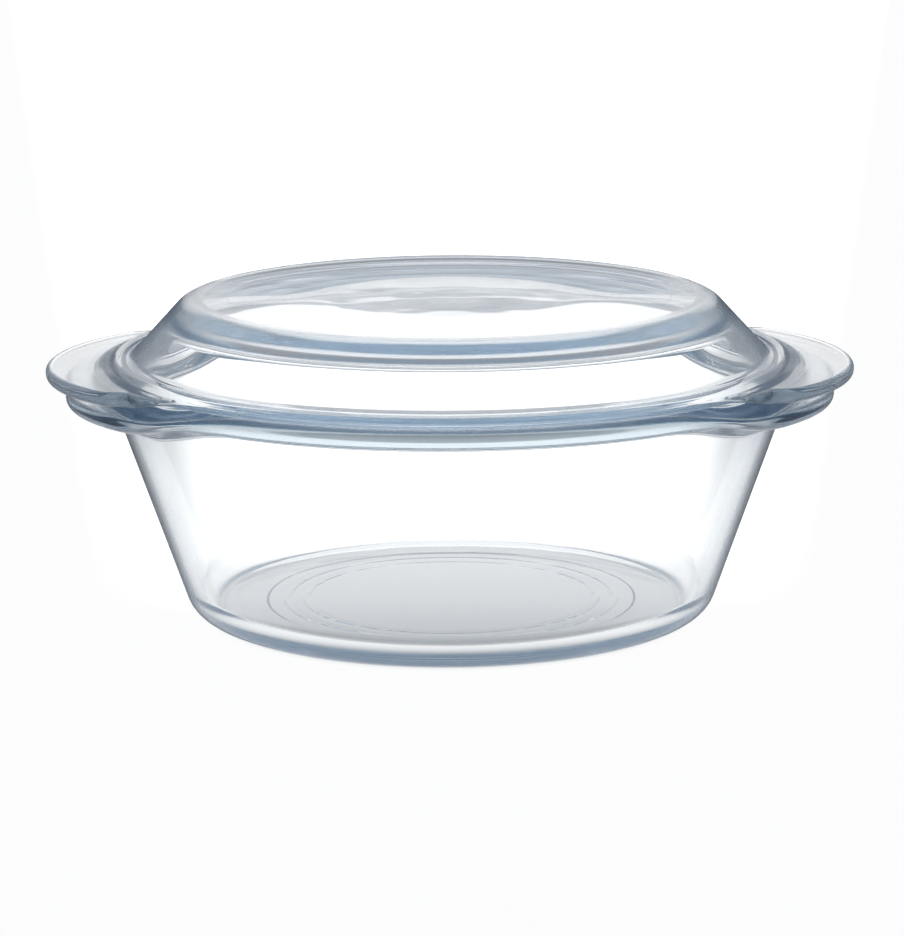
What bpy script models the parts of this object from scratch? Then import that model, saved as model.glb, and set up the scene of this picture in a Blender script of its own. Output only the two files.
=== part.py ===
"""Round covered casserole dish in clear pressed glass: a tapered dish with two lugs, and a domed lid
with two lugs that sit above them.

Each piece is one glass moulding, as the real ones are. Metres, +Z up. The origin is the centre of the
foot, on the surface that the dish stands on, and +X points at a lug.
"""

import math

import bpy

# Overall sizes
LID_SPAN = 0.250  # from one lid lug's tip to the other's
DISH_SPAN = 0.238  # the same across the dish's lugs
TOP_Z = 0.0984  # the lid's flat top
GAP = 0.0003  # between touching pieces

# Dish
FOOT_RADIUS = 0.0808  # where the wall's outer line meets the ground plane
WALL_FLARE = 0.34  # widening of the radius for each metre of height
WALL = 0.0050  # thickness, measured level
FLOOR_Z = 0.0046  # upper face of the floor
FLOOR_FILLET = 0.0100  # between the floor and the wall, inside
FOOT_FILLET = 0.0070  # the same, outside
KICK_UP = 0.0008  # hollow under the floor, inside the foot ring
FOOT_RING_INNER = 0.0580
RIM_RADIUS = 0.1108
RIM_Z = 0.0775  # the flat that the lid rests on
RIM_DEPTH = 0.0053
RIM_ROUND = 0.0018

# Lid
LID_RIM_RADIUS = 0.1096
LID_RIM_TOP_Z = 0.0810
DOME_TOP_RADIUS = 0.0820  # where the dome wall's outer line meets the top
DOME_FLARE = 0.925  # widening of the radius for each metre that the wall comes down
DOME_WALL = 0.0060  # thickness, measured level
CEILING_Z = 0.0938  # under face of the top, in the middle
CEILING_FALL = 0.0024  # the under face curves down by this towards the dome wall
CEILING_FLAT = 0.0450  # radius at which it starts to curve down
CEILING_CURVE = 0.2500
CEILING_FILLET = 0.0130
SHOULDER_FILLET = 0.0080
SKIRT_RADIUS = 0.1004  # the lip that centres the lid in the dish's mouth
SKIRT_DEPTH = 0.0026

# Lugs
LID_LUG_ARC = 0.078  # plan radius of the tip
LID_LUG_WIDTH = 0.108
LID_LUG_TOP_Z = 0.0782
LID_LUG_THICKNESS = 0.0043
DISH_LUG_ARC = 0.077
DISH_LUG_TOP_Z = 0.0707
DISH_LUG_THICKNESS = 0.0052
LUG_ROUND = 0.0016  # rounding of the plates' edges
LUG_BURIED = 0.3  # share of the wall's thickness that a dish lug reaches into it

# The rim's outer part falls away at the lugs, so that the lid's lugs can sit lower than the rim
CREST_RADIUS = 0.1046  # outer edge of the flat that is left
CREST_SLOPE = 0.971  # outward run for each metre of fall
RELIEF_WIDTH = 0.144

STEPS = 72  # facets around each turned surface
ARC_STEPS = 3  # facets along each rounded corner
REACH = 0.020  # how far cutters pass beyond what they cut
FINE_ROUND = 0.0010


def start_collections():
    """Clear the scene, and return the collections for the parts and for the cutters."""
    for old in list(bpy.data.objects):
        bpy.data.objects.remove(old, do_unlink=True)
    found = []
    for name in ("covered_casserole_dish", "cutters"):
        collection = bpy.data.collections.new(name)
        bpy.context.scene.collection.children.link(collection)
        found.append(collection)
    return found


def clear_glass(name, colour):
    material = bpy.data.materials.new(name)
    material.use_nodes = True
    shader = material.node_tree.nodes["Principled BSDF"]
    shader.inputs["Base Color"].default_value = (*colour, 1.0)
    shader.inputs["Roughness"].default_value = 0.03
    shader.inputs["Metallic"].default_value = 0.0
    shader.inputs["IOR"].default_value = 1.48
    shader.inputs["Transmission Weight"].default_value = 1.0
    return material


def rounded(corners, steps=ARC_STEPS):
    """The outline through corners (r, z, radius), with an arc of that radius at each inner corner."""
    points = [corners[0][:2]]
    for before, (r, z, radius), after in zip(corners, corners[1:], corners[2:]):
        to_before = (before[0] - r, before[1] - z)
        to_after = (after[0] - r, after[1] - z)
        start = math.atan2(to_before[1], to_before[0])
        turn = (math.atan2(to_after[1], to_after[0]) - start + math.pi) % (2 * math.pi) - math.pi
        reach = radius / math.tan(abs(turn) / 2)
        middle = start + turn / 2
        centre_distance = math.hypot(radius, reach)
        centre = (r + centre_distance * math.cos(middle), z + centre_distance * math.sin(middle))
        sweep = math.copysign(math.pi - abs(turn), -turn)
        first = middle + math.pi - sweep / 2
        for i in range(steps + 1):
            angle = first + sweep * i / steps
            points.append((centre[0] + radius * math.cos(angle), centre[1] + radius * math.sin(angle)))
    points.append(corners[-1][:2])
    return points


def turned(name, outline, collection, closed=False):
    """A solid of revolution about Z. The outline runs down its outer side."""
    mesh = bpy.data.meshes.new(name)
    edges = [(i, i + 1) for i in range(len(outline) - 1)]
    if closed:
        edges.append((len(outline) - 1, 0))
    mesh.from_pydata([(r, 0.0, z) for r, z in outline], edges, [])
    obj = bpy.data.objects.new(name, mesh)
    collection.objects.link(obj)
    screw = obj.modifiers.new("turn", "SCREW")
    screw.axis = "Z"
    screw.steps = STEPS
    screw.render_steps = STEPS
    screw.use_merge_vertices = True
    screw.merge_threshold = 1e-5
    return obj


def block(name, size, centre, collection):
    bpy.ops.mesh.primitive_cube_add(size=1.0, location=centre)
    return adopt(name, size, collection)


def disc(name, radius, low, high, centre_x, collection):
    """An upright cylinder from low to high, whose axis is at centre_x."""
    bpy.ops.mesh.primitive_cylinder_add(
        vertices=STEPS, radius=radius, depth=high - low, location=(centre_x, 0.0, (low + high) / 2)
    )
    return adopt(name, (1.0, 1.0, 1.0), collection)


def adopt(name, scale, collection):
    """Name the new primitive, put its scale into its mesh, and move it to the collection."""
    obj = bpy.context.object
    obj.name = name
    obj.data.name = name
    for vertex in obj.data.vertices:
        vertex.co = [c * s for c, s in zip(vertex.co, scale)]
    for other in list(obj.users_collection):
        other.objects.unlink(obj)
    collection.objects.link(obj)
    return obj


def round_edges(obj, width, angle_limit=60.0):
    bevel = obj.modifiers.new("round", "BEVEL")
    bevel.width = width
    bevel.segments = 2
    bevel.limit_method = "ANGLE"
    bevel.angle_limit = math.radians(angle_limit)


def combine(obj, operation, other):
    """Join, cut or keep the common part of obj with a helper, which is then left out of the model."""
    boolean = obj.modifiers.new(f"{operation.lower()}_{other.name}", "BOOLEAN")
    boolean.operation = operation
    boolean.solver = "EXACT"
    boolean.object = other
    other.hide_render = True
    other.display_type = "WIRE"


def finish_part(obj, material):
    obj.data.materials.append(material)
    obj.data.shade_smooth()


def wall_at(z):
    """Radius of the dish wall's outer line."""
    return FOOT_RADIUS + WALL_FLARE * z


def dome_at(z):
    """Radius of the dome wall's outer line."""
    return DOME_TOP_RADIUS + DOME_FLARE * (TOP_Z - z)


def dish_outline():
    under_rim = RIM_Z - RIM_DEPTH
    root = under_rim - 0.5 * FINE_ROUND  # the rim's under face falls a little towards the wall
    return rounded([
        (0.0, FLOOR_Z, 0.0),
        (wall_at(FLOOR_Z) - WALL, FLOOR_Z, FLOOR_FILLET),
        (wall_at(RIM_Z) - WALL, RIM_Z, FINE_ROUND),
        (RIM_RADIUS, RIM_Z, RIM_ROUND),
        (RIM_RADIUS, under_rim, RIM_ROUND),
        (wall_at(root), root, RIM_ROUND),
        (FOOT_RADIUS, 0.0, FOOT_FILLET),
        (FOOT_RING_INNER, 0.0, FINE_ROUND),
        (FOOT_RING_INNER - 2 * KICK_UP, KICK_UP, FINE_ROUND),
        (0.0, KICK_UP, 0.0),
    ])


def lid_outline():
    seat = RIM_Z + GAP
    skirt_z = seat - SKIRT_DEPTH
    ceiling_edge = CEILING_Z - CEILING_FALL
    return rounded([
        (0.0, TOP_Z, 0.0),
        (DOME_TOP_RADIUS, TOP_Z, SHOULDER_FILLET),
        (dome_at(LID_RIM_TOP_Z), LID_RIM_TOP_Z, RIM_ROUND),
        (LID_RIM_RADIUS - FINE_ROUND, LID_RIM_TOP_Z, FINE_ROUND),
        (LID_RIM_RADIUS, seat, FINE_ROUND),
        (SKIRT_RADIUS + 2 * GAP, seat, GAP),
        (SKIRT_RADIUS, skirt_z, FINE_ROUND),
        (dome_at(skirt_z) - DOME_WALL, skirt_z, FINE_ROUND),
        (dome_at(ceiling_edge) - DOME_WALL, ceiling_edge, CEILING_FILLET),
        (CEILING_FLAT, CEILING_Z, CEILING_CURVE),
        (0.0, CEILING_Z, 0.0),
    ])


def crest_fall(z):
    """Radius of the slope that falls from the rim's flat at the lugs."""
    return CREST_RADIUS + CREST_SLOPE * (RIM_Z - z)


def make_base_dish(parts, cutters):
    dish = turned("base_dish", dish_outline(), parts)

    over = RIM_Z + REACH
    high = RIM_Z + FINE_ROUND
    outside = LID_SPAN / 2 + REACH
    relief = turned(
        "rim_relief",
        [
            (crest_fall(high), over),
            (outside, over),
            (outside, DISH_LUG_TOP_Z),
            (crest_fall(DISH_LUG_TOP_Z), DISH_LUG_TOP_Z),
            (crest_fall(high), high),
        ],
        cutters,
        closed=True,
    )
    size = (LID_SPAN + 4 * REACH, RELIEF_WIDTH, 4 * REACH)
    width = block("relief_width", size, (0.0, 0.0, RIM_Z), cutters)
    combine(relief, "INTERSECT", width)
    combine(dish, "DIFFERENCE", relief)

    # Each lug is a crescent that thins out along the wall, with its inner edge buried in the wall
    low = DISH_LUG_TOP_Z - DISH_LUG_THICKNESS
    buried = wall_at(low) - LUG_BURIED * WALL
    for side, sign in (("left", -1), ("right", 1)):
        centre = sign * (DISH_SPAN / 2 - DISH_LUG_ARC)
        lug = disc(f"dish_lug_{side}", DISH_LUG_ARC, low, DISH_LUG_TOP_Z, centre, cutters)
        round_edges(lug, LUG_ROUND)
        core = disc(f"dish_core_{side}", buried, low - REACH, over, 0.0, cutters)
        combine(lug, "DIFFERENCE", core)
        combine(dish, "UNION", lug)
    return dish


def make_lid(parts, cutters):
    lid = turned("lid", lid_outline(), parts)

    low = LID_LUG_TOP_Z - LID_LUG_THICKNESS
    seat = RIM_Z + GAP
    under = DISH_LUG_TOP_Z
    over = LID_RIM_TOP_Z + REACH
    clearance = turned(
        "rim_clearance",
        [
            (0.0, over),
            (SKIRT_RADIUS, over),
            (SKIRT_RADIUS, seat),
            (CREST_RADIUS + GAP, seat),
            (crest_fall(under) + GAP, under + GAP),
            (crest_fall(under) + GAP, under - REACH),
            (0.0, under - REACH),
        ],
        cutters,
    )
    for side, sign in (("left", -1), ("right", 1)):
        centre = sign * (LID_SPAN / 2 - LID_LUG_ARC)
        lug = disc(f"lid_lug_{side}", LID_LUG_ARC, low, LID_LUG_TOP_Z, centre, cutters)
        size = (LID_SPAN, LID_LUG_WIDTH, 2 * REACH)
        width = block(f"lid_lug_width_{side}", size, (sign * LID_SPAN / 2, 0.0, low), cutters)
        combine(lug, "INTERSECT", width)
        round_edges(lug, LUG_ROUND, 40.0)
        combine(lug, "DIFFERENCE", clearance)
        combine(lid, "UNION", lug)
    return lid


def main():
    parts, cutters = start_collections()
    finish_part(make_base_dish(parts, cutters), clear_glass("dish_glass", (0.86, 0.93, 0.95)))
    finish_part(make_lid(parts, cutters), clear_glass("lid_glass", (0.87, 0.93, 0.95)))
    cutters.hide_render = True


main()
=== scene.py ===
"""Looks for the round covered casserole dish in clear pressed glass.

Both glass mouldings are lofted around the axis from one cross-section that changes with the angle:
it is the plain rim at the front and back, and reaches out into a lug at each side. Metres, +Z up.
"""

import math

import bpy
import numpy as np
from mathutils import Matrix, Vector


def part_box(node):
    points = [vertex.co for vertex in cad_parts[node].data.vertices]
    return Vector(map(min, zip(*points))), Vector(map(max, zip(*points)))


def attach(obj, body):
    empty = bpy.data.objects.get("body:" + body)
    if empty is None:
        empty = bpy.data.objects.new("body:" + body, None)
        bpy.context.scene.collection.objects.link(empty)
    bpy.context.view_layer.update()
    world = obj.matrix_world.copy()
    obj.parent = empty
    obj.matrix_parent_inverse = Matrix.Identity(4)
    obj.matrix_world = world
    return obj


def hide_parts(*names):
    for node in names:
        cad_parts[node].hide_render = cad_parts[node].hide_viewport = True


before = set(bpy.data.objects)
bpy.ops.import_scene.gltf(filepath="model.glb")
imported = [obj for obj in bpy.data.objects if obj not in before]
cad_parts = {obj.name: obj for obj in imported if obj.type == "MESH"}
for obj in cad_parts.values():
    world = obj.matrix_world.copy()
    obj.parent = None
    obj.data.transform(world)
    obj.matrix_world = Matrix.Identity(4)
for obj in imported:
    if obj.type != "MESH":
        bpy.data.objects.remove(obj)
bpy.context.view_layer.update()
DISH_HIGH = Vector(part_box("base_dish")[1])
LID_HIGH = Vector(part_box("lid")[1])

# Sizes that the frame gives
RIM_RADIUS = DISH_HIGH.y
RIM_Z = DISH_HIGH.z
DISH_TIP = DISH_HIGH.x
LID_RIM_RADIUS = LID_HIGH.y
LID_TIP = LID_HIGH.x
TOP_Z = LID_HIGH.z

# Dish
WALL_FLARE = 0.34  # widening of the radius for each metre of height
FOOT_RADIUS = RIM_RADIUS - 0.0300  # where the wall's outer line meets the ground plane
WALL = 0.0050  # thickness, measured level
FLOOR_Z = 0.0046
FLOOR_FILLET = 0.0100
FOOT_FILLET = 0.0085
KICK_UP = 0.0006  # hollow under the floor, inside the foot ring
FOOT_RING_INNER = 0.0580
FOOT_RING_ROUND = 0.0003
MOUTH_ROUND = 0.0014
RIM_DEPTH = 0.0053
RIM_CREST = RIM_RADIUS - 0.0075  # where the rim's flat starts to fall away, front and back
RIM_SHOULDER = RIM_RADIUS - 0.0056
CREST_AT_LUG = 0.1042
SHOULDER_AT_LUG = 0.1100
MOULD_RINGS = (0.0520, 0.0460)
RING_HEIGHT = 0.00006
RING_RAMP = 0.0010  # width of each ring's flat and of the ramps beside it
RING_ROUND = 0.0009

# Lid
SEAT_Z = RIM_Z + 0.0003
LID_RIM_TOP_Z = TOP_Z - 0.0174
DOME_TOP_RADIUS = 0.0820
DOME_FLARE = 0.925  # widening of the radius for each metre that the wall comes down
DOME_WALL = 0.0060
CEILING_Z = TOP_Z - 0.0046
CEILING_EDGE_Z = CEILING_Z - 0.0024
CEILING_FLAT = 0.0450
CEILING_CURVE = 0.2500
CEILING_FILLET = 0.0130
TOP_RING_INNER = 0.0685  # inner edge of the flat ring that the top rests on when the lid is turned over
TOP_HOLLOW = 0.00002
TOP_RING_ROUND = 0.0010
SHOULDER_FILLET = 0.0080
DOME_FOOT_FILLET = 0.0025
SKIRT_RADIUS = 0.1004  # the lip that centres the lid in the dish's mouth
SKIRT_DEPTH = 0.0026
SKIRT_TAPER = 0.0006
SKIRT_ROUND = 0.0009

# Lugs
DISH_LUG_ARC = 0.077  # plan radius of the tip
DISH_LUG_TOP_Z = RIM_Z - 0.0069
DISH_LUG_LOW_Z = RIM_Z - 0.0117
LID_LUG_ARC = 0.078
LID_LUG_HALF_WIDTH = 0.054
LID_LUG_TOP_Z = SEAT_Z + 0.0004
LID_LUG_LOW_Z = SEAT_Z - 0.0039

# Mesh density
ANGLES = 352
ARC_STEPS = 7
LONGEST_STEP = 0.0025
GUARD = 0.00025  # a point this near each end of a straight stretch keeps its shading flat
LUG_SIDE_DEG = 28  # the angles crowd together here, at the lugs' sides
LUG_SIDE_SPREAD_DEG = 5
LUG_SIDE_CROWDING = 2.5

# Glass
GLASS_IOR = 1.48
DEPTH_COLOUR = (0.62, 0.735, 0.83)  # what long paths through the glass turn to
DEPTH_DENSITY = 11.5
# Painted shade: the walls' colour runs from white where seen face-on to grey-blue edge-on, by Layer Weight
# facing
EDGE_PAINTED_SHADE = (
    (0.46, (1.0, 1.0, 1.0)),
    (0.60, (0.88, 0.91, 0.93)),
    (0.76, (0.60, 0.65, 0.70)),
    (1.00, (0.42, 0.49, 0.56)),
)
# Painted shade: darker colour on the rims' outer faces, between the lugs
DISH_RIM_PAINTED_SHADE = (0.38, 0.46, 0.51)
LID_RIM_PAINTED_SHADE = (0.66, 0.73, 0.77)
INNER_SHARE = 0.50  # how much of the painted edge shade and of the haze a wall's inner face takes
HAZE_START = 0.60
HAZE = 0.60
RIM_GLOSS = 0.09
FOOT_GLOSS = 0.12
SHOULDER_GLOSS = 0.16
GLOSS_PATCHES = 35.0  # noise scales, in patches and waves to the metre
SURFACE_WAVES = 45.0
UNEVEN_GLOSS = 0.02
WAVE_HEIGHT = 0.00004

# Floor: white over the camera's view, brighter still behind the dish, and grey elsewhere
FLOOR_GLOW = 1.5
FLOOR_WHITE = 0.98
FLOOR_DIM = 0.46
FLOOR_DROP = 0.0002  # the floor is this far under the foot
LOBE_START_Y = -0.02
LOBE_FULL_Y = 0.11
LOBE_HALF = 0.070
LOBE_WIDENS = 0.14
LOBE_EASE = 0.045
POOL_HALF = 0.148
POOL_WIDENS = 0.137
POOL_EASE = 0.05
POOL_FRONT_Y = -0.31
POOL_END_Y = -0.60

# Contact shade under the dish, as radii from its axis, and deeper towards the front
SHADE_FULL = 0.0670
SHADE_END = 0.0795
SHADE_FRONT_Y = -0.050
SHADE_BACK_Y = 0.005
SHADE_BACK_DEPTH = 0.38
SHADE_FRONT_DEPTH = 0.62

# Backdrop and surroundings
BACKDROP_Y = 3.0
BACKDROP_HEIGHT = 3.0
BACKDROP_GLOW = 0.92
BACKDROP_DIM = 0.34
BACKDROP_DARK = 0.555
BACKDROP_LIT = 0.64
BACKDROP_HIGH = 0.90
BACKDROP_TOP = 1.50
BACKDROP_HALF = 0.8
BACKDROP_SIDE = 1.4
STAGE_HALF = 6
WHITE = (1.0, 1.0, 1.0)
DIM_COLOUR = (0.80, 0.89, 1.00)
STUDIO_GREY = (0.26, 0.325, 0.40)
LIGHT_BOUNCES = 80  # light runs a long way round inside the rims

# Camera: a long lens, a little above the rim, in line with the Y axis
CAMERA_TARGET = (0.0005, 0.0, 0.0433)
CAMERA_DISTANCE = 1.0453
CAMERA_ELEVATION_DEG = 12.32
CAMERA_ROLL_DEG = -0.33
CAMERA_LENS = 128.7
CAMERA_SENSOR = 36.0


def smooth_max(a, b, width):
    return 0.5 * (a + b + np.sqrt((a - b) ** 2 + width**2))


def smooth_min(a, b, width):
    return 0.5 * (a + b - np.sqrt((a - b) ** 2 + width**2))


def ease(x):
    x = np.clip(x, 0.0, 1.0)
    return x * x * (3.0 - 2.0 * x)


def angle_from_lug(angle):
    """Angle to the middle of the nearer lug."""
    return np.abs((angle + np.pi / 2) % np.pi - np.pi / 2)


def lug_share(angle, full_deg, none_deg):
    """1 within full_deg of either lug's middle, falling smoothly to 0 at none_deg."""
    full, none = math.radians(full_deg), math.radians(none_deg)
    return ease((none - angle_from_lug(angle)) / math.radians(none_deg - full_deg))


def plan_arc(angle, tip, arc):
    """Plan radius of a lug's outline: an arc whose middle is on the X axis."""
    centre = tip - arc
    c, s = np.abs(np.cos(angle)), np.abs(np.sin(angle))
    return centre * c + np.sqrt(np.maximum(arc**2 - (centre * s) ** 2, 0.0))


def mix(front, lug, share):
    return front + (lug - front) * share


def corner_arcs(corners, radii):
    """The points of an arc at each inner corner, as angles x arcs x points x 2."""
    before, corner, after = corners[:, :-2], corners[:, 1:-1], corners[:, 2:]
    to_before, to_after = before - corner, after - corner
    length_before = np.linalg.norm(to_before, axis=2)
    length_after = np.linalg.norm(to_after, axis=2)
    u = to_before / length_before[..., None]
    v = to_after / length_after[..., None]
    opening = np.arccos(np.clip((u * v).sum(axis=2), -0.9999, 0.9999))
    reach = radii[:, 1:-1] / np.tan(opening / 2)
    reach = np.minimum(reach, 0.49 * np.minimum(length_before, length_after))
    radius = reach * np.tan(opening / 2)
    middle = u + v
    middle /= np.maximum(np.linalg.norm(middle, axis=2), 1e-9)[..., None]
    centre = corner + middle * (radius / np.sin(opening / 2))[..., None]
    spoke = corner + u * reach[..., None] - centre
    across = np.sign(u[..., 0] * v[..., 1] - u[..., 1] * v[..., 0])
    pieces = []
    for i in range(ARC_STEPS + 1):
        a = -across * (np.pi - opening) * i / ARC_STEPS
        x = spoke[..., 0] * np.cos(a) - spoke[..., 1] * np.sin(a)
        z = spoke[..., 0] * np.sin(a) + spoke[..., 1] * np.cos(a)
        pieces.append(centre + np.stack([x, z], axis=2))
    return np.stack(pieces, axis=2)


def rounded_sections(corners, radii):
    """Each angle's outline through its corners (r, z), with an arc at each inner corner.

    corners is angles x corners x 2, and radii is angles x corners. Straight stretches are divided, with
    the same number of points at every angle.
    """
    arcs = corner_arcs(corners, radii)
    points = []
    last = corners[:, 0]
    for k in range(arcs.shape[1] + 1):
        following = arcs[:, k, 0] if k < arcs.shape[1] else corners[:, -1]
        span = np.linalg.norm(following - last, axis=1)
        shares = stretch_shares(float(span.max()))
        points += [last + (following - last) * share for share in shares]
        if k < arcs.shape[1]:
            points += [arcs[:, k, i] for i in range(ARC_STEPS)]
            last = arcs[:, k, ARC_STEPS]
    points.append(corners[:, -1])
    return np.stack(points, axis=1)


def stretch_shares(length):
    """Where a straight stretch is divided, as shares of it, from its start up to but not its end."""
    if length < 4 * GUARD:
        return [0.0]
    count = max(1, math.ceil(length / LONGEST_STEP))
    inner = [GUARD / length + (1 - 2 * GUARD / length) * i / count for i in range(count + 1)]
    return [0.0, *inner]


def lofted(name, sections, angles):
    """A closed mesh around Z: the first and last point of every section are on the axis."""
    count, rows = sections.shape[:2]
    rings = sections[:, 1:-1]
    x = rings[..., 0] * np.cos(angles)[:, None]
    y = rings[..., 0] * np.sin(angles)[:, None]
    ring_points = np.stack([x, y, rings[..., 1]], axis=2).reshape(-1, 3)
    ends = np.array([[0.0, 0.0, sections[0, 0, 1]], [0.0, 0.0, sections[0, -1, 1]]])
    points = np.concatenate([ring_points, ends])
    per = rows - 2
    i = np.arange(count)[:, None]
    j = np.arange(per - 1)[None, :]
    after = (i + 1) % count
    quads = np.stack([i * per + j, i * per + j + 1, after * per + j + 1, after * per + j], axis=2)
    first, last = len(points) - 2, len(points) - 1
    faces = quads.reshape(-1, 4).tolist()
    for k in range(count):
        following = (k + 1) % count
        faces.append((first, k * per, following * per))
        faces.append((last, following * per + per - 1, k * per + per - 1))
    mesh = bpy.data.meshes.new(name)
    mesh.from_pydata(points.tolist(), [], faces)
    mesh.validate()
    mesh.shade_smooth()
    obj = bpy.data.objects.new(name, mesh)
    bpy.context.scene.collection.objects.link(obj)
    return obj


def around(corner_rows, count):
    """Corners that may be plain numbers or one number for each angle, as (corners, radii) arrays."""
    corners = np.zeros((count, len(corner_rows), 2))
    radii = np.zeros((count, len(corner_rows)))
    for k, (r, z, radius) in enumerate(corner_rows):
        corners[:, k, 0] = r
        corners[:, k, 1] = z
        radii[:, k] = radius
    return corners, radii


def loft_angles():
    """Angles around the axis, closer together at the lugs' sides."""
    steady = np.linspace(0.0, 2 * np.pi, 4 * ANGLES, endpoint=False)
    from_side = (angle_from_lug(steady) - math.radians(LUG_SIDE_DEG)) / math.radians(LUG_SIDE_SPREAD_DEG)
    density = 1.0 + LUG_SIDE_CROWDING * np.exp(-(from_side**2))
    total = np.concatenate([[0.0], np.cumsum(density)])
    wanted = np.linspace(0.0, total[-1], ANGLES, endpoint=False)
    return np.interp(wanted, total, np.append(steady, 2 * np.pi))


def wall_at(z):
    return FOOT_RADIUS + WALL_FLARE * z


def dome_at(z):
    return DOME_TOP_RADIUS + DOME_FLARE * (TOP_Z - z)


def mould_rings(z):
    """Corners of the faint rings that the mould leaves under the floor, from the outer ring in."""
    corners = []
    for radius in MOULD_RINGS:
        for steps, height in ((1, 0.0), (0, 1.0), (-1, 1.0), (-2, 0.0)):
            corners.append((radius + steps * RING_RAMP, z - height * RING_HEIGHT, RING_ROUND))
    return corners


def make_dish():
    """The dish, from the middle of its floor up inside, over the rim and lugs, and down to the foot."""
    a = loft_angles()
    outline = smooth_max(RIM_RADIUS, plan_arc(a, DISH_TIP, DISH_LUG_ARC), 0.0015)
    outline = outline - (outline.min() - RIM_RADIUS)
    outline = np.minimum(outline, DISH_TIP)
    fall = lug_share(a, 30, 58)
    edge = lug_share(a, 26, 48)
    gusset = lug_share(a, 32, 55)
    rim_low_z = RIM_Z - RIM_DEPTH
    rows = [
        (0.0, FLOOR_Z, 0.0),
        (wall_at(FLOOR_Z) - WALL, FLOOR_Z, FLOOR_FILLET),
        (wall_at(RIM_Z) - WALL, RIM_Z, MOUTH_ROUND),
        (mix(RIM_CREST, CREST_AT_LUG, fall), RIM_Z, mix(0.0020, 0.0012, fall)),
        (
            mix(RIM_SHOULDER, SHOULDER_AT_LUG, fall),
            mix(RIM_Z - 0.0001, DISH_LUG_TOP_Z + 0.0002, fall),
            mix(0.0020, 0.0030, fall),
        ),
        (outline, mix(RIM_Z - 0.0002, DISH_LUG_TOP_Z, fall), mix(0.0026, 0.0020, fall)),
        (outline - 0.0004 * edge, mix(rim_low_z, DISH_LUG_LOW_Z, edge), 0.0026),
        (
            mix(wall_at(rim_low_z), wall_at(DISH_LUG_LOW_Z), gusset) + 0.0002,
            mix(rim_low_z, DISH_LUG_LOW_Z, gusset) - 0.0006,
            mix(0.0020, 0.0030, gusset),
        ),
        (FOOT_RADIUS, 0.0, FOOT_FILLET),
        (FOOT_RING_INNER, 0.0, FOOT_RING_ROUND),
        (FOOT_RING_INNER - KICK_UP, KICK_UP, FOOT_RING_ROUND),
        *mould_rings(KICK_UP),
        (0.0, KICK_UP, 0.0),
    ]
    corners, radii = around(rows, len(a))
    return lofted("glass_dish", rounded_sections(corners, radii), a)


def make_lid():
    """The lid, from the middle of its top over the dome, rim and lugs, and back up inside."""
    a = loft_angles()
    lug = smooth_min(
        plan_arc(a, LID_TIP, LID_LUG_ARC),
        LID_LUG_HALF_WIDTH / np.maximum(np.abs(np.sin(a)), 0.05),
        0.0030,
    )
    outline = smooth_max(LID_RIM_RADIUS, lug, 0.0012)
    outline = outline - (outline.min() - LID_RIM_RADIUS)
    outline = np.minimum(outline, LID_TIP)
    low = lug_share(a, 28, 43)
    top = lug_share(a, 30, 52)
    skirt_z = SEAT_Z - SKIRT_DEPTH
    rows = [
        (0.0, TOP_Z - TOP_HOLLOW, 0.0),
        (TOP_RING_INNER - 2 * TOP_HOLLOW, TOP_Z - TOP_HOLLOW, TOP_RING_ROUND),
        (TOP_RING_INNER, TOP_Z, TOP_RING_ROUND),
        (DOME_TOP_RADIUS, TOP_Z, SHOULDER_FILLET),
        (dome_at(LID_RIM_TOP_Z), LID_RIM_TOP_Z, DOME_FOOT_FILLET),
        (
            mix(LID_RIM_RADIUS - 0.0018, 0.1034, top),
            mix(LID_RIM_TOP_Z, LID_RIM_TOP_Z - 0.0002, top),
            mix(0.0012, 0.0025, top),
        ),
        (
            mix(LID_RIM_RADIUS - 0.0008, 0.1080, top),
            mix(LID_RIM_TOP_Z - 0.0008, LID_LUG_TOP_Z + 0.0001, top),
            mix(0.0010, 0.0035, top),
        ),
        (outline, mix(LID_RIM_TOP_Z - 0.0016, LID_LUG_TOP_Z, top), mix(0.0010, 0.0019, top)),
        (outline - 0.0003 * low, mix(SEAT_Z, LID_LUG_LOW_Z, low), mix(0.0010, 0.0019, low)),
        (mix(0.1070, 0.1096, low), mix(SEAT_Z, LID_LUG_LOW_Z, low), 0.0012),
        (mix(0.1055, 0.1043, low), SEAT_Z, 0.0008),
        (SKIRT_RADIUS + SKIRT_TAPER, SEAT_Z, 0.0004),
        (SKIRT_RADIUS, skirt_z, SKIRT_ROUND),
        (dome_at(skirt_z) - DOME_WALL, skirt_z, SKIRT_ROUND),
        (dome_at(CEILING_EDGE_Z) - DOME_WALL, CEILING_EDGE_Z, CEILING_FILLET),
        (CEILING_FLAT, CEILING_Z, CEILING_CURVE),
        (0.0, CEILING_Z, 0.0),
    ]
    corners, radii = around(rows, len(a))
    return lofted("glass_lid", rounded_sections(corners, radii), a)


def node(tree, kind, **values):
    """A new node; values set its input sockets, or its own properties."""
    made = tree.nodes.new(kind)
    for key, value in values.items():
        if key in made.inputs:
            made.inputs[key].default_value = value
        else:
            setattr(made, key, value)
    return made


def maths(tree, operation, a, b):
    step = node(tree, "ShaderNodeMath", operation=operation)
    for socket, value in zip(step.inputs, (a, b)):
        if isinstance(value, (int, float)):
            socket.default_value = value
        else:
            tree.links.new(value, socket)
    return step.outputs["Value"]


def falloff(tree, value, start, end):
    """1 up to start, easing to 0 at end; start may be the larger of the two."""
    ramp = node(tree, "ShaderNodeMapRange", interpolation_type="SMOOTHSTEP")
    ramp.inputs["From Min"].default_value = start
    ramp.inputs["From Max"].default_value = end
    ramp.inputs["To Min"].default_value = 1.0
    ramp.inputs["To Max"].default_value = 0.0
    tree.links.new(value, ramp.inputs["Value"])
    return ramp.outputs["Result"]


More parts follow.
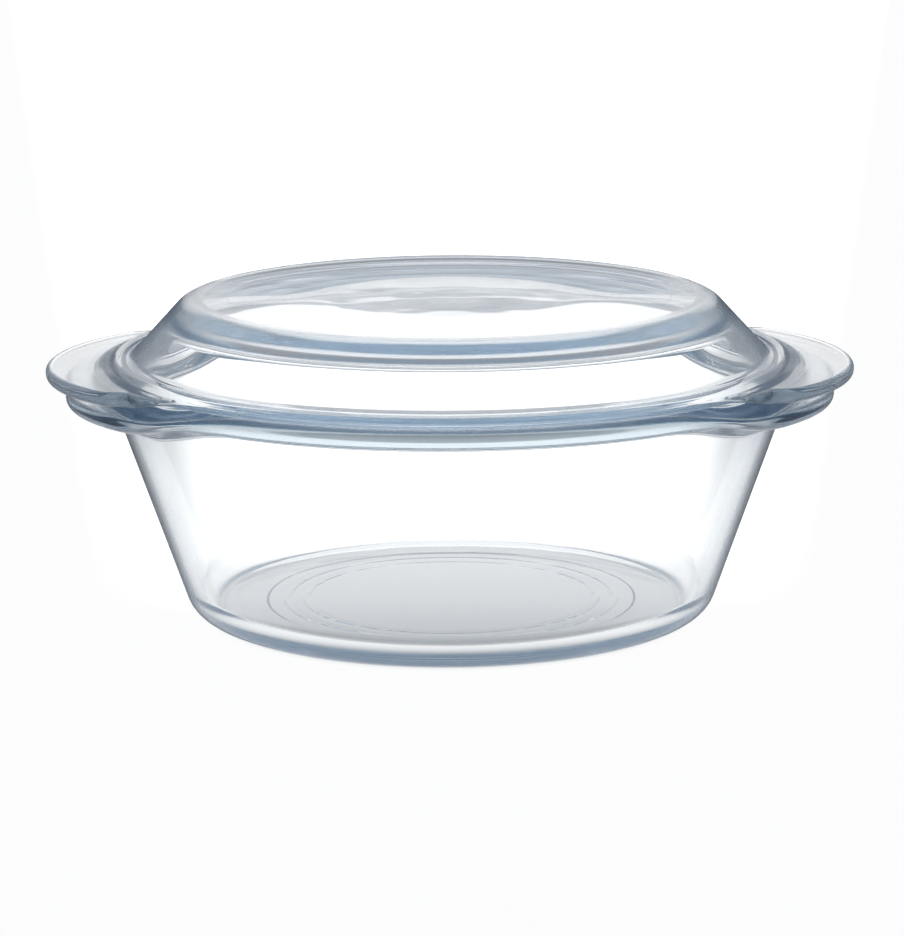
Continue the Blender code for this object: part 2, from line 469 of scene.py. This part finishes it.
def blended(tree, share, colour, full):
    """From colour, a tuple or a socket, at share 0 to the tuple full at share 1."""
    made = node(tree, "ShaderNodeMix", data_type="RGBA")
    factor, start, end = made.inputs["Factor"], made.inputs[6], made.inputs[7]
    tree.links.new(share, factor)
    if isinstance(colour, tuple):
        start.default_value = (*colour, 1.0)
    else:
        tree.links.new(colour, start)
    end.default_value = (*full, 1.0)
    return made.outputs[2]


def position(tree):
    """The shaded point's x, y and z in its piece's frame."""
    axes = node(tree, "ShaderNodeSeparateXYZ")
    tree.links.new(node(tree, "ShaderNodeTexCoord").outputs["Object"], axes.inputs["Vector"])
    return axes.outputs


def from_axis(tree, x, y):
    squares = maths(tree, "ADD", maths(tree, "POWER", x, 2.0), maths(tree, "POWER", y, 2.0))
    return maths(tree, "POWER", squares, 0.5)


def outer_share(tree, outer_line, wall):
    """1 on the outer face of a wall, and INNER_SHARE on its inner face.

    The outer face's radius at height z is outer_line's first number plus its second times z.
    """
    start, flare = outer_line
    x, y, z = position(tree)
    middle = maths(tree, "ADD", maths(tree, "MULTIPLY", z, flare), start - wall / 2)
    beyond = maths(tree, "SUBTRACT", from_axis(tree, x, y), middle)
    outer = falloff(tree, beyond, 0.2 * wall, -0.2 * wall)
    return maths(tree, "ADD", maths(tree, "MULTIPLY", outer, 1.0 - INNER_SHARE), INNER_SHARE)


def rim_face(tree):
    """1 on the outer face of the dish's rim, between its lugs: where painted shade darkens the glass's
    colour.
    """
    x, y, z = position(tree)
    radius = from_axis(tree, x, y)
    above = falloff(tree, z, RIM_Z - RIM_DEPTH, RIM_Z - RIM_DEPTH - 0.0008)
    below = falloff(tree, z, RIM_Z - 0.0006, RIM_Z + 0.0001)
    outside = falloff(tree, radius, RIM_RADIUS - 0.0016, RIM_RADIUS - 0.0030)
    between = falloff(tree, radius, RIM_RADIUS + 0.0002, RIM_RADIUS + 0.0020)
    level = maths(tree, "MULTIPLY", above, below)
    return maths(tree, "MULTIPLY", level, maths(tree, "MULTIPLY", outside, between))


def moulded_edges(tree):
    """Roughness of the foot, the rims, the lugs and the lid's shoulder, which are less sharply polished."""
    x, y, z = position(tree)
    radius = from_axis(tree, x, y)
    soft = 0.001

    def band(low, high, inner, roughness):
        above = falloff(tree, z, low + soft, low - soft)
        below = falloff(tree, z, high - soft, high + soft)
        outside = falloff(tree, radius, inner + soft, inner - soft)
        inside = maths(tree, "MULTIPLY", maths(tree, "MULTIPLY", above, below), outside)
        return maths(tree, "MULTIPLY", inside, roughness)

    foot = band(-1.0, 0.0090, FOOT_RADIUS - 0.0100, FOOT_GLOSS)
    rim_inner = wall_at(DISH_LUG_LOW_Z) + 0.0010
    rims = band(DISH_LUG_LOW_Z - 0.002, LID_RIM_TOP_Z + 0.0015, rim_inner, RIM_GLOSS)
    shoulder = band(TOP_Z - 0.0055, 1.0, DOME_TOP_RADIUS - 0.0060, SHOULDER_GLOSS)
    return maths(tree, "MAXIMUM", maths(tree, "MAXIMUM", foot, rims), shoulder)


def painted_edge_shade(tree, facing):
    """Painted shade: a wall's colour darkens to grey-blue the more nearly it is seen edge-on, standing in
    for the darker surroundings that glass shows at its edges.
    """
    ramp = node(tree, "ShaderNodeValToRGB")
    stops = ramp.color_ramp.elements
    stops[0].position, stops[0].color = EDGE_PAINTED_SHADE[0][0], (*EDGE_PAINTED_SHADE[0][1], 1.0)
    stops[1].position, stops[1].color = EDGE_PAINTED_SHADE[-1][0], (*EDGE_PAINTED_SHADE[-1][1], 1.0)
    for place, colour in EDGE_PAINTED_SHADE[1:-1]:
        stops.new(place).color = (*colour, 1.0)
    tree.links.new(facing, ramp.inputs["Fac"])
    return ramp.outputs["Color"]


def level_faces(tree):
    """1 on the faces that lie level, such as the lid's top and the dish's floor."""
    axes = node(tree, "ShaderNodeSeparateXYZ")
    tree.links.new(node(tree, "ShaderNodeTexCoord").outputs["Normal"], axes.inputs["Vector"])
    return falloff(tree, maths(tree, "ABSOLUTE", axes.outputs["Z"], 0.0), 0.99, 0.80)


def object_noise(tree, scale, detail):
    noise = node(tree, "ShaderNodeTexNoise", Scale=scale, Detail=detail)
    tree.links.new(node(tree, "ShaderNodeTexCoord").outputs["Object"], noise.inputs["Vector"])
    return noise.outputs["Fac"]


def pressed_glass(name, rim_painted_shade, outer_line, wall):
    """Clear glass with shade painted into its colour where the walls are seen edge-on and on the rims'
    outer faces, haze towards the edges, duller rims and faint waves.
    """
    material = bpy.data.materials.new(name)
    material.use_nodes = True
    tree = material.node_tree
    shader = tree.nodes["Principled BSDF"]
    shader.inputs["Transmission Weight"].default_value = 1.0
    shader.inputs["IOR"].default_value = GLASS_IOR
    shader.distribution = "GGX"

    slant = node(tree, "ShaderNodeLayerWeight", Blend=0.5).outputs["Facing"]
    facing = maths(tree, "MULTIPLY", slant, outer_share(tree, outer_line, wall))
    flat = level_faces(tree)
    # Painted shade on the walls, by how nearly they are seen edge-on, left off the level faces
    walls_painted_shade = blended(tree, flat, painted_edge_shade(tree, facing), WHITE)
    # Painted shade on the rims' outer faces
    tree.links.new(blended(tree, rim_face(tree), walls_painted_shade, rim_painted_shade), shader.inputs["Base Color"])

    haze = falloff(tree, facing, 1.0, HAZE_START)
    sides = maths(tree, "SUBTRACT", 1.0, flat)
    haze = maths(tree, "MULTIPLY", maths(tree, "MULTIPLY", haze, sides), HAZE)
    edges = maths(tree, "MAXIMUM", haze, moulded_edges(tree))
    uneven = maths(tree, "MULTIPLY", object_noise(tree, GLOSS_PATCHES, 3.0), UNEVEN_GLOSS)
    tree.links.new(maths(tree, "ADD", edges, uneven), shader.inputs["Roughness"])

    bump = node(tree, "ShaderNodeBump", Distance=WAVE_HEIGHT, Strength=1.0)
    tree.links.new(object_noise(tree, SURFACE_WAVES, 1.0), bump.inputs["Height"])
    tree.links.new(bump.outputs["Normal"], shader.inputs["Normal"])

    colour = (*DEPTH_COLOUR, 1.0)
    volume = node(tree, "ShaderNodeVolumeAbsorption", Color=colour, Density=DEPTH_DENSITY)
    tree.links.new(volume.outputs["Volume"], tree.nodes["Material Output"].inputs["Volume"])
    return material


def place_camera():
    elevation = math.radians(CAMERA_ELEVATION_DEG)
    data = bpy.data.cameras.new("camera")
    data.sensor_fit = "AUTO"
    data.sensor_width = CAMERA_SENSOR
    data.lens = CAMERA_LENS
    data.clip_start = 0.01
    data.clip_end = 100.0
    camera = bpy.data.objects.new("camera", data)
    bpy.context.scene.collection.objects.link(camera)
    offset = Vector((0.0, -math.cos(elevation), math.sin(elevation))) * CAMERA_DISTANCE
    facing = (-offset).to_track_quat("-Z", "Y").to_matrix().to_4x4()
    roll = Matrix.Rotation(math.radians(CAMERA_ROLL_DEG), 4, "Z")
    camera.matrix_world = Matrix.Translation(Vector(CAMERA_TARGET) + offset) @ facing @ roll
    bpy.context.scene.camera = camera


def glowing(name, level_at):
    """A panel that glows by level_at(tree, x, y, z), which builds the level in its node tree."""
    material = bpy.data.materials.new(name)
    material.use_nodes = True
    tree = material.node_tree
    tree.nodes.remove(tree.nodes["Principled BSDF"])
    level = level_at(tree, *position(tree))
    glow = node(tree, "ShaderNodeEmission")
    tree.links.new(blended(tree, level, DIM_COLOUR, WHITE), glow.inputs["Color"])
    tree.links.new(level, glow.inputs["Strength"])
    tree.links.new(glow.outputs["Emission"], tree.nodes["Material Output"].inputs["Surface"])
    return material


def within(tree, x, y, half, widens, soft):
    """1 within half of the Y axis, more by widens times y, easing to 0 over soft."""
    edge = maths(tree, "MULTIPLY_ADD", y, widens)
    edge.node.inputs[2].default_value = half
    aside = maths(tree, "ABSOLUTE", x, 0.0)
    return falloff(tree, maths(tree, "SUBTRACT", aside, edge), 0.0, soft)


def contact_shade(tree, x, y):
    """How much of the light the dish keeps from the floor under it."""
    beneath = falloff(tree, from_axis(tree, x, y), SHADE_FULL, SHADE_END)
    front = falloff(tree, y, SHADE_FRONT_Y, SHADE_BACK_Y)
    depth = maths(tree, "MULTIPLY", front, SHADE_FRONT_DEPTH - SHADE_BACK_DEPTH)
    return maths(tree, "MULTIPLY", beneath, maths(tree, "ADD", depth, SHADE_BACK_DEPTH))


def floor_level(tree, x, y, z):
    frontward = maths(tree, "MULTIPLY", y, -1.0)
    pool_front = falloff(tree, frontward, -POOL_FRONT_Y, -POOL_END_Y)
    pool = maths(tree, "MULTIPLY", within(tree, x, y, POOL_HALF, POOL_WIDENS, POOL_EASE), pool_front)
    behind = falloff(tree, frontward, -LOBE_FULL_Y, -LOBE_START_Y)
    lobe = maths(tree, "MULTIPLY", within(tree, x, y, LOBE_HALF, LOBE_WIDENS, LOBE_EASE), behind)
    level = maths(tree, "ADD", maths(tree, "MULTIPLY", pool, FLOOR_WHITE - FLOOR_DIM), FLOOR_DIM)
    level = maths(tree, "ADD", level, maths(tree, "MULTIPLY", lobe, FLOOR_GLOW - FLOOR_WHITE))
    return maths(tree, "MULTIPLY", level, maths(tree, "SUBTRACT", 1.0, contact_shade(tree, x, y)))


def backdrop_level(tree, x, y, z):
    """Dark low down, lit across the middle, and dark again high up and at the sides."""
    sides = falloff(tree, maths(tree, "ABSOLUTE", x, 0.0), BACKDROP_HALF, BACKDROP_SIDE)
    lit = maths(tree, "MULTIPLY", sides, falloff(tree, z, BACKDROP_LIT, BACKDROP_DARK))
    lit = maths(tree, "MULTIPLY", lit, falloff(tree, z, BACKDROP_HIGH, BACKDROP_TOP))
    return maths(tree, "ADD", maths(tree, "MULTIPLY", lit, BACKDROP_GLOW - BACKDROP_DIM), BACKDROP_DIM)


def panel(name, corners, material):
    mesh = bpy.data.meshes.new(name)
    mesh.from_pydata(corners, [], [(0, 1, 2, 3)])
    mesh.materials.append(material)
    made = bpy.data.objects.new(name, mesh)
    bpy.context.scene.collection.objects.link(made)


def make_stage():
    half, z = STAGE_HALF, -FLOOR_DROP
    corners = [(-half, -half, z), (half, -half, z), (half, half, z), (-half, half, z)]
    panel("floor", corners, glowing("floor_white", floor_level))
    y, top = BACKDROP_Y, BACKDROP_HEIGHT
    corners = [(-half, y, 0), (half, y, 0), (half, y, top), (-half, y, top)]
    panel("backdrop", corners, glowing("white_sheet", backdrop_level))


def make_world():
    world = bpy.data.worlds.new("studio")
    bpy.context.scene.world = world
    world.use_nodes = True
    background = world.node_tree.nodes["Background"]
    background.inputs["Color"].default_value = (*STUDIO_GREY, 1)
    background.inputs["Strength"].default_value = 1.0


def main():
    dish_line = (FOOT_RADIUS, WALL_FLARE)
    lid_line = (dome_at(0.0), -DOME_FLARE)
    for piece, body, cad_node, slot, rim_painted_shade, line, wall in (
        (make_dish(), "dish", "base_dish", "dish_glass", DISH_RIM_PAINTED_SHADE, dish_line, WALL),
        (make_lid(), "lid", "lid", "lid_glass", LID_RIM_PAINTED_SHADE, lid_line, DOME_WALL),
    ):
        piece.data.materials.append(pressed_glass(slot, rim_painted_shade, line, wall))
        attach(piece, body)
        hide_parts(cad_node)
    make_stage()
    make_world()
    place_camera()
    scene = bpy.context.scene
    scene.view_settings.view_transform = "Standard"
    scene.cycles.max_bounces = LIGHT_BOUNCES
    scene.cycles.transmission_bounces = LIGHT_BOUNCES
    scene.cycles.glossy_bounces = LIGHT_BOUNCES


main()
